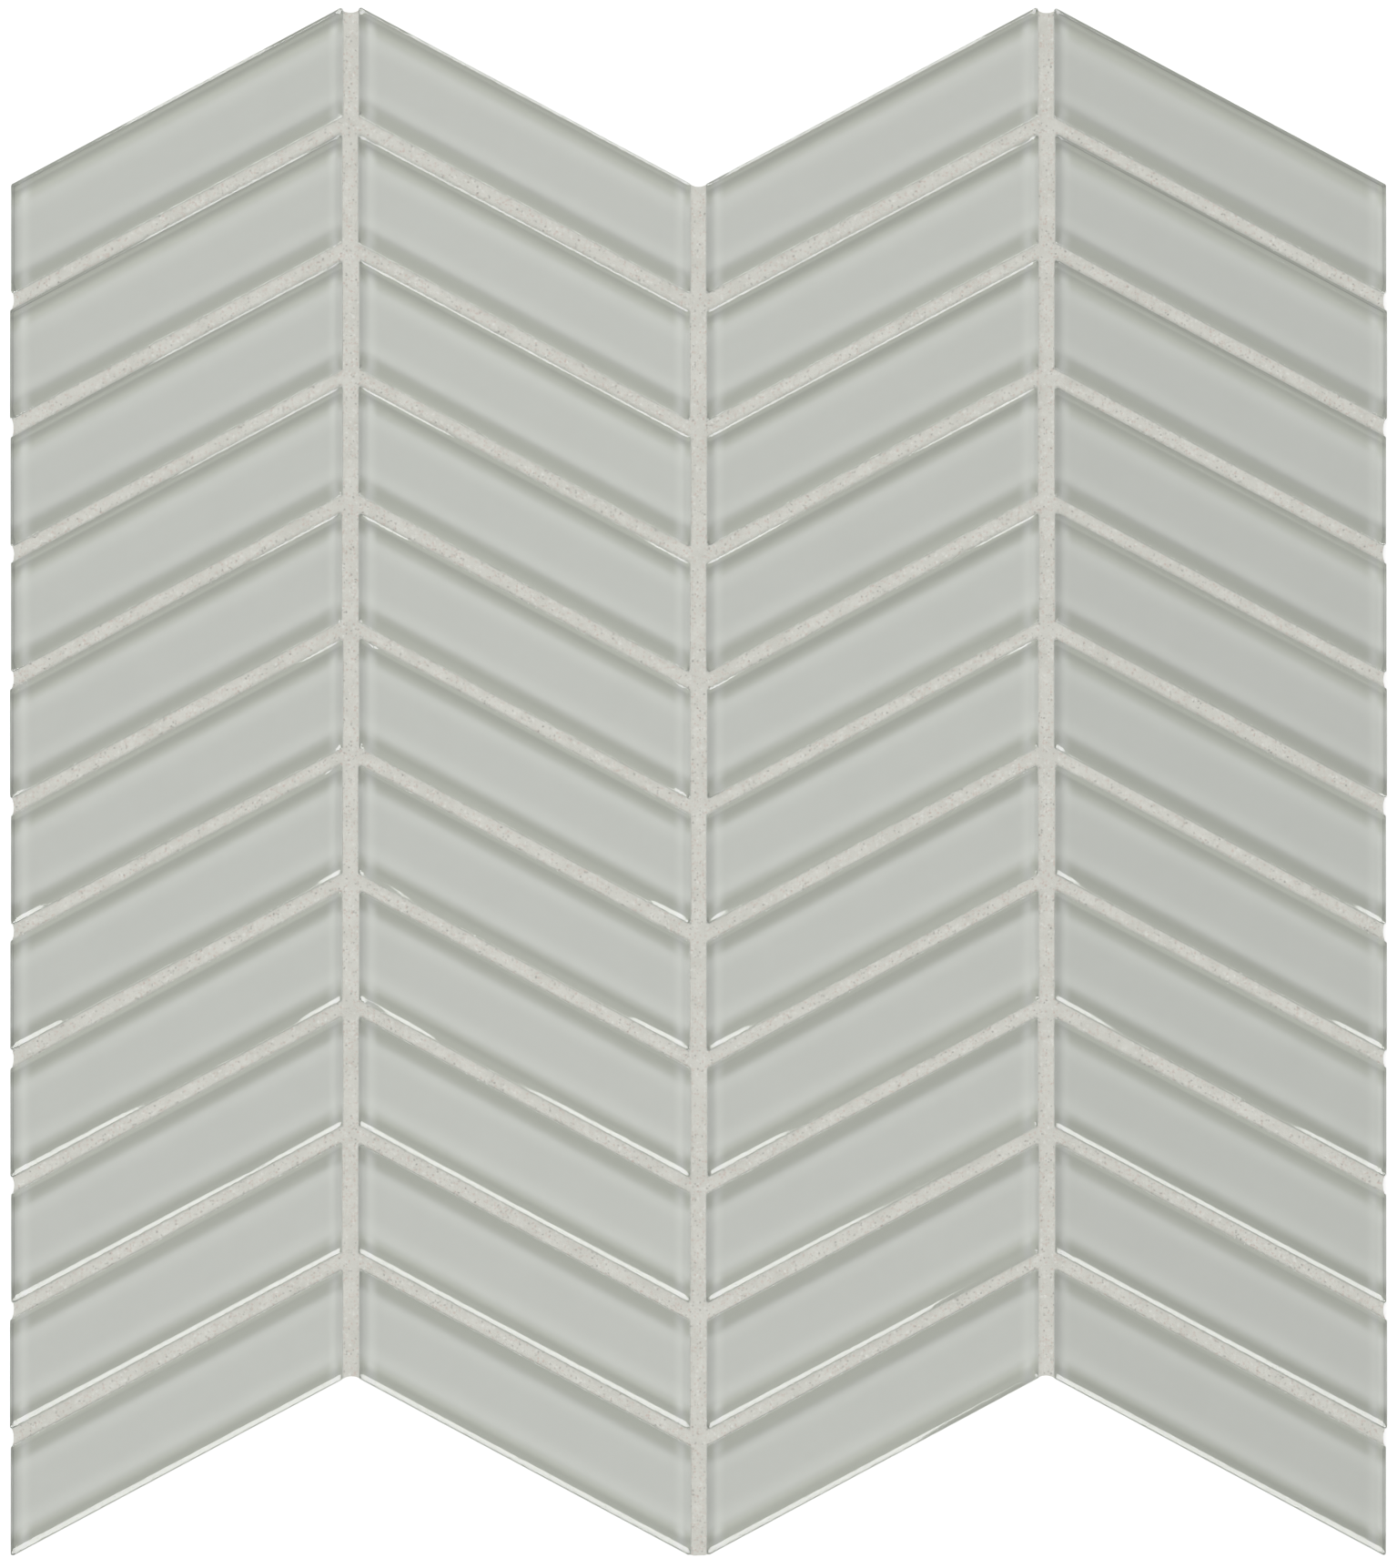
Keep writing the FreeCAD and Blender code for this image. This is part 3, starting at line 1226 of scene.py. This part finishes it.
    def build(self) -> bpy.types.Mesh:
        """Join the grids, raise them to their height, and close the casting with a flat back and walls.

        Grid points that coincide are merged, by whole steps with an offset that keeps midpoints off a tie. An
        edge that only one quad has is on the border, where the points near a chip's corner are moved onto its
        arc and a wall goes down to the back.

        Returns:
            The grout's mesh.
        """
        plans, quads, start = [], [], 0
        for grids, down_first in ((self.row_grids(), False), (self.column_grids(), True)):
            joints, long, wide = grids.shape[:3]
            numbers = start + np.arange(joints * long * wide).reshape(joints, long, wide)
            here, next_long = numbers[:, :-1, :-1], numbers[:, 1:, :-1]
            next_wide, both = numbers[:, :-1, 1:], numbers[:, 1:, 1:]
            order = [here, next_long, both, next_wide] if down_first else [here, next_wide, both, next_long]
            quads.append(np.stack(order, axis=-1).reshape(-1, 4))
            plans.append(grids.reshape(-1, 2))
            start += numbers.size
        loose = np.concatenate(plans)
        steps = np.round(loose / self.merge_step + self.merge_offset)
        _, first, merged = np.unique(steps, axis=0, return_index=True, return_inverse=True)
        plan = loose[first]
        top = merged.reshape(-1)[np.concatenate(quads)]
        edges = np.stack([top, np.roll(top, -1, axis=1)], axis=-1).reshape(-1, 2)
        _, which, uses = np.unique(np.sort(edges, axis=1), axis=0, return_inverse=True, return_counts=True)
        border = edges[uses[which.reshape(-1)] == 1]
        rim = np.unique(border)
        for chip in self.chips:
            close = rim[chip.plan.distance(plan[rim], 0.0) < self.touch]
            plan[close] = chip.plan.pull_to_arcs(plan[close], chip.corner)
        count = len(plan)
        upper = np.column_stack([plan, self.height(plan)])
        lower = np.column_stack([plan, np.full(count, self.base)])
        walls = np.column_stack([border[:, 1], border[:, 0], border[:, 0] + count, border[:, 1] + count])
        faces = np.concatenate([top, top[:, ::-1] + count, walls])
        return finish_mesh("grout_bed", np.concatenate([upper, lower]), faces.tolist(), sharp_deg=50)

    def dress(self, mesh: bpy.types.Mesh, finish: bpy.types.Material) -> bpy.types.Object:
        """Put the grout in the scene."""
        return put_in_scene(mesh, self.node, [finish])


@dataclass
class MeshLayer:
    """One layer of the backing mesh: strands of yarn, side by side."""

    run: Run
    around: int = 10
    step: float = 6.0 * MM
    sway: float = 0.06 * MM
    sway_waves: Range = (40.0 * MM, 23.0 * MM)
    winding_pitch: float = 1.6 * MM
    fibres: int = 5

    def strands(self) -> np.ndarray:
        """Where the CAD layer's strands lie.

        Returns:
            One row for each strand: its middle across, its width, its start and its end.
        """
        points = node_points(self.run.value)
        along, across = (1, 0) if self.run is Run.UP_THE_SHEET else (0, 1)
        spots = np.unique(np.round(points[:, [across, along]], 6), axis=0)
        sides = spots[np.append(True, np.diff(spots[:, 0]) > SAME_PLACE), 0]
        rows = []
        for low, high in sides.reshape(-1, 2):
            ends = [np.sort(spots[np.abs(spots[:, 0] - side) < SAME_PLACE, 1]) for side in (low, high)]
            first, second = (found.reshape(-1, 2) for found in ends)
            for one, other in zip(first, second):
                rows.append([(low + high) / 2, high - low, max(one[0], other[0]), min(one[1], other[1])])
        return np.array(rows)

    def build(self) -> bpy.types.Mesh:
        """Carry an oval along each strand, swaying a little, and close both ends.

        At turn p round the oval the point lies half a width times cos p across and half a thickness times
        sin p up from the strand's middle.

        Returns:
            The layer's mesh, with the fibres' winding kept on the points.
        """
        low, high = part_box(self.run.value)
        middle, half = (low.z + high.z) / 2, (high.z - low.z) / 2
        upright = self.run is Run.UP_THE_SHEET
        rng = np.random.default_rng(Seed.WARP_SWAY if upright else Seed.WEFT_SWAY)
        turn = np.linspace(0, 2 * math.pi, self.around, endpoint=False)
        ring, ahead = np.arange(self.around), np.roll(np.arange(self.around), -1)
        points, faces, winding, start = [], [], [], 0
        for across, width, first, last in self.strands():
            steps = max(2, round((last - first) / self.step))
            along = np.linspace(first, last, steps + 1)
            centre = across + self.sway * ripple(along, rng, self.sway_waves)
            side = centre[:, None] + (width / 2 - self.sway) * np.cos(turn)[None]
            rise = np.broadcast_to(middle + half * np.sin(turn), side.shape)
            length = np.broadcast_to(along[:, None], side.shape)
            flat = (side, length) if upright else (length, side)
            points.append(np.stack([*flat, rise], axis=-1).reshape(-1, 3))
            lower = start + (np.arange(steps) * self.around)[:, None]
            upper = lower + self.around
            bands = np.stack([lower + ring, upper + ring, upper + ahead, lower + ahead], axis=-1)
            end = start + steps * self.around
            caps = [list(range(start, start + self.around)), list(range(end + self.around - 1, end - 1, -1))]
            strand = bands.reshape(-1, 4).tolist() + caps
            if not upright:
                strand = [face[::-1] for face in strand]
            faces += strand
            turns = length / self.winding_pitch + self.fibres * turn[None] / (2 * math.pi)
            winding.append(turns.ravel())
            start += points[-1].shape[0]
        mesh = finish_mesh(f"yarn_{self.run.value}", np.concatenate(points), faces, sharp_deg=60)
        keep_on_points(mesh, STRAND_WINDING, np.concatenate(winding))
        return mesh

    def dress(self, mesh: bpy.types.Mesh, finish: bpy.types.Material) -> bpy.types.Object:
        """Put the layer in the scene."""
        return put_in_scene(mesh, self.run.value, [finish])


@dataclass
class Studio:
    """The floor, the lamps, the world and a camera that looks straight down."""

    view_width: float = 305.8 * MM
    camera_height: float = 1.2
    camera_offset: float = -0.5 * MM
    lamp_watts: float = 5.5
    lamp_side: float = -0.05
    top_reach: float = 0.54
    bottom_reach: float = -0.62
    lamp_height: float = 1.18
    lamp_length: float = 0.70
    lamp_depth: float = 0.22
    fill_strength: float = 1.14
    fill_spread_deg: float = 8.0
    world_level: float = 0.08
    floor_size: float = 12.0
    floor_tone: float = 0.85
    glow: Range = (0.35, 0.72)
    glow_reach: Range = (0.4, 1.4)
    bounces: tuple[int, int, int] = (6, 2, 2)

    def camera(self) -> None:
        """Look down on the face, with the photograph's frame filled as the photograph fills it."""
        data = bpy.data.cameras.new("camera")
        view_height = self.view_width * PHOTO_HEIGHT_PX / PHOTO_WIDTH_PX
        data.lens = data.sensor_width * self.camera_height / view_height
        view = add_object("camera", data)
        view.location = (0, self.camera_offset, CAD_BOX[1].z + self.camera_height)
        bpy.context.scene.camera = view

    def lamps(self) -> None:
        """Two soft boxes, beyond the top of the sheet and beyond its bottom, and a fill from overhead."""
        for name, reach in (("lamp_top", self.top_reach), ("lamp_bottom", self.bottom_reach)):
            data = bpy.data.lights.new(name, "AREA")
            data.shape = "RECTANGLE"
            data.size, data.size_y = self.lamp_length, self.lamp_depth
            data.energy = self.lamp_watts
            lamp = add_object(name, data)
            lamp.location = (self.lamp_side, reach, self.lamp_height)
            lamp.rotation_euler = (-Vector(lamp.location)).to_track_quat("-Z", "Y").to_euler()
        data = bpy.data.lights.new("fill_overhead", "SUN")
        data.energy, data.angle = self.fill_strength, math.radians(self.fill_spread_deg)
        fill = add_object("fill_overhead", data)
        fill.location = (0, 0, self.lamp_height)
        fill.visible_glossy = fill.visible_transmission = False

    @staticmethod
    def seen_directly(sheet: NodeSheet) -> Socket:
        """A mask that is 1 for rays from the camera, by mirror or through glass, before any matt bounce.

        Args:
            sheet: The tree that uses the mask.

        Returns:
            The mask's socket.
        """
        path = sheet.node("ShaderNodeLightPath").outputs
        clear = sheet.math("LESS_THAN", path["Diffuse Depth"], 0.5)
        bent = sheet.math("MAXIMUM", path["Is Glossy Ray"], path["Is Transmission Ray"])
        return sheet.math("MAXIMUM", path["Is Camera Ray"], sheet.math("MULTIPLY", bent, clear))

    def world(self) -> None:
        """An even light from all round, behind a white backdrop."""
        made = bpy.data.worlds.new("studio_world")
        made.use_nodes = True
        sheet = NodeSheet(made.node_tree)
        level = sheet.between(self.seen_directly(sheet), (self.world_level, 1.0))
        sky = sheet.node("ShaderNodeBackground", Color=(*WHITE, 1), Strength=level)
        sheet.node("ShaderNodeOutputWorld", Surface=sky.outputs[0])
        bpy.context.scene.world = made

    def floor(self) -> None:
        """A white floor just under the sheet that takes its shadow, and stays white far from the lamps."""
        size = self.floor_size
        mesh = bpy.data.meshes.new("floor")
        corners = [(-size, -size, 0), (size, -size, 0), (size, size, 0), (-size, size, 0)]
        mesh.from_pydata(corners, [], [(0, 1, 2, 3)])
        sheet = FinishSheet("floor")
        paint = sheet.node("ShaderNodeBsdfDiffuse", Color=(*3 * (self.floor_tone,), 1))
        away = sheet.node("ShaderNodeVectorMath", operation="LENGTH")
        sheet.feed(away, 0, sheet.place)
        strength = sheet.span(away.outputs["Value"], *self.glow_reach, *self.glow)
        glow = sheet.node("ShaderNodeEmission", Color=(*WHITE, 1), Strength=strength)
        both = sheet.node("ShaderNodeAddShader")
        sheet.feed(both, 0, paint.outputs[0])
        sheet.feed(both, 1, glow.outputs[0])
        choice = sheet.node("ShaderNodeMixShader", Fac=self.seen_directly(sheet))
        sheet.feed(choice, 1, paint.outputs[0])
        sheet.feed(choice, 2, both.outputs[0])
        sheet.material.cycles.emission_sampling = "NONE"
        mesh.materials.append(sheet.surface(choice))
        add_object("floor", mesh)

    def build(self) -> None:
        """Set up the whole studio."""
        bpy.context.scene.view_settings.view_transform = "Standard"
        cycles = bpy.context.scene.cycles
        cycles.caustics_reflective = cycles.caustics_refractive = False
        cycles.max_bounces, cycles.diffuse_bounces, cycles.glossy_bounces = self.bounces
        self.camera()
        self.lamps()
        self.world()
        self.floor()


def main() -> None:
    """Build the sheet's pieces in order, then the studio."""
    logging.basicConfig(level=logging.INFO, format="%(name)s %(message)s")
    effects = SharedEffects()
    glass = ClearGlass().material(effects)
    coat = [GroundWall().material(effects), BackCoat().material(effects)]
    chips = [
        GlassChip(chip_node(column, row), column * ROWS + row, COLUMN_TONES[column], CORNER_FALLS[row])
        for column in range(COLUMNS)
        for row in range(ROWS)
    ]
    for chip in chips:
        chip.dress(glass, coat)
    bed = GroutBed(chips)
    bed.dress(bed.build(), SandedGrout().material(effects))
    yarn = GlassYarn().material(effects)
    for run in Run:
        layer = MeshLayer(run)
        layer.dress(layer.build(), yarn)
    Studio().build()


if __name__ == "__main__":
    main()
